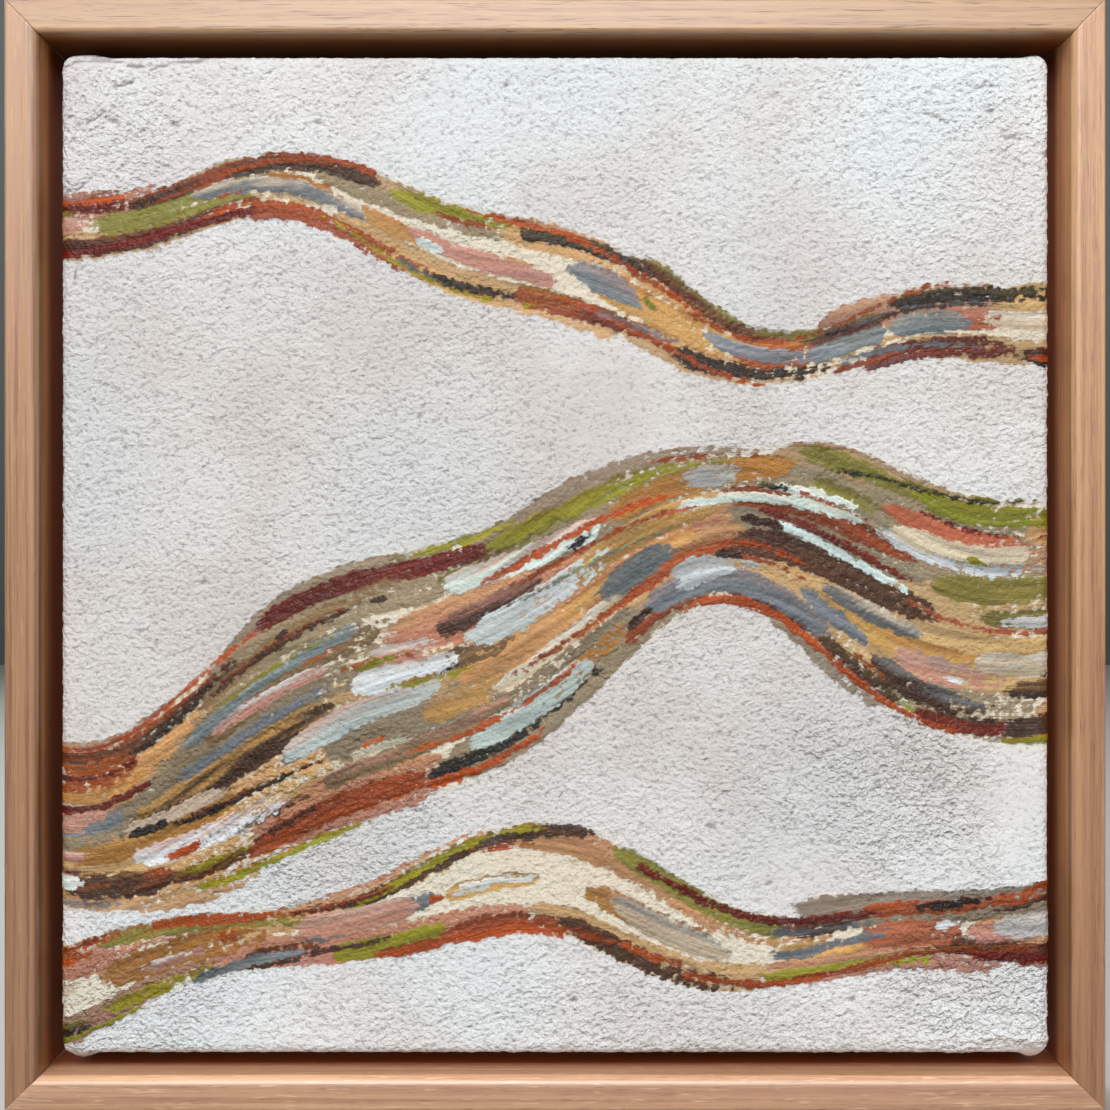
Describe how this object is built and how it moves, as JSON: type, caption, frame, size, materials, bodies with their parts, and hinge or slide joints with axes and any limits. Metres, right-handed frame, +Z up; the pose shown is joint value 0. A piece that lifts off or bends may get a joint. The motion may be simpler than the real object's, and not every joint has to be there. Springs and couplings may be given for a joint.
{
  "type": "framed canvas painting",
  "caption": "Square stretched canvas with a rough textured ground and a painted abstract design, floating in a pale oak tray frame, with ring hangers and wall pads behind.",
  "frame": {"origin": "on the back of the top rail, midway along it and midway across it, where the wall holds the picture", "axes": "+Z up, -Y out of the painted face towards the viewer, +X to the viewer's right"},
  "size_m": [0.332, 0.0378, 0.335],
  "materials": {
    "frame_oak": "pale pinkish oak with a satin clear coat, straight fine grain and short dark pores",
    "bar_pine": "bare planed pine",
    "key_beech": "bare sawn beech",
    "primed_cotton": "woven cotton, primed white outside and raw inside",
    "painted_paste": "stippled texture paste with brushed acrylic paint, matt with a few satin strokes",
    "zinc_steel": "bright zinc plate",
    "pad_rubber": "soft translucent-looking pale rubber"
  },
  "bodies": {
    "frame": {"frame_rail_bottom": "frame_oak", "frame_rail_left": "frame_oak", "frame_rail_top": "frame_oak", "frame_rail_right": "frame_oak", "stretcher_bar_bottom": "bar_pine", "stretcher_bar_left": "bar_pine", "stretcher_bar_top": "bar_pine", "stretcher_bar_right": "bar_pine", "corner_key_bottom_left_upright": "key_beech", "corner_key_bottom_left_level": "key_beech", "corner_key_top_left_upright": "key_beech", "corner_key_top_left_level": "key_beech", "corner_key_bottom_right_upright": "key_beech", "corner_key_bottom_right_level": "key_beech", "corner_key_top_right_upright": "key_beech", "corner_key_top_right_level": "key_beech", "canvas_cloth": "primed_cotton", "painted_ground": "painted_paste", "canvas_screw_bottom_1": "zinc_steel", "canvas_screw_bottom_2": "zinc_steel", "canvas_screw_left_1": "zinc_steel", "canvas_screw_left_2": "zinc_steel", "canvas_screw_top_1": "zinc_steel", "canvas_screw_top_2": "zinc_steel", "canvas_screw_right_1": "zinc_steel", "canvas_screw_right_2": "zinc_steel", "staple_bottom_1": "zinc_steel", "staple_bottom_2": "zinc_steel", "staple_bottom_3": "zinc_steel", "staple_left_1": "zinc_steel", "staple_left_2": "zinc_steel", "staple_left_3": "zinc_steel", "staple_top_1": "zinc_steel", "staple_top_2": "zinc_steel", "staple_top_3": "zinc_steel", "staple_right_1": "zinc_steel", "staple_right_2": "zinc_steel", "staple_right_3": "zinc_steel", "hanger_strap_left": "zinc_steel", "hanger_screw_left": "zinc_steel", "hanger_strap_right": "zinc_steel", "hanger_screw_right": "zinc_steel", "bumper_left": "pad_rubber", "bumper_right": "pad_rubber"},
    "left_ring": {"hanger_ring_left": "zinc_steel"},
    "right_ring": {"hanger_ring_right": "zinc_steel"}
  },
  "joints": [
    {"name": "left_ring_swing", "type": "hinge", "parent": "frame", "child": "left_ring", "pos_m": [-0.1455, 0.0024, -0.068], "axis": [0, 0, 1], "range_deg": [0, 170]},
    {"name": "right_ring_swing", "type": "hinge", "parent": "frame", "child": "right_ring", "pos_m": [0.1455, 0.0024, -0.068], "axis": [0, 0, -1], "range_deg": [0, 170]}
  ]
}
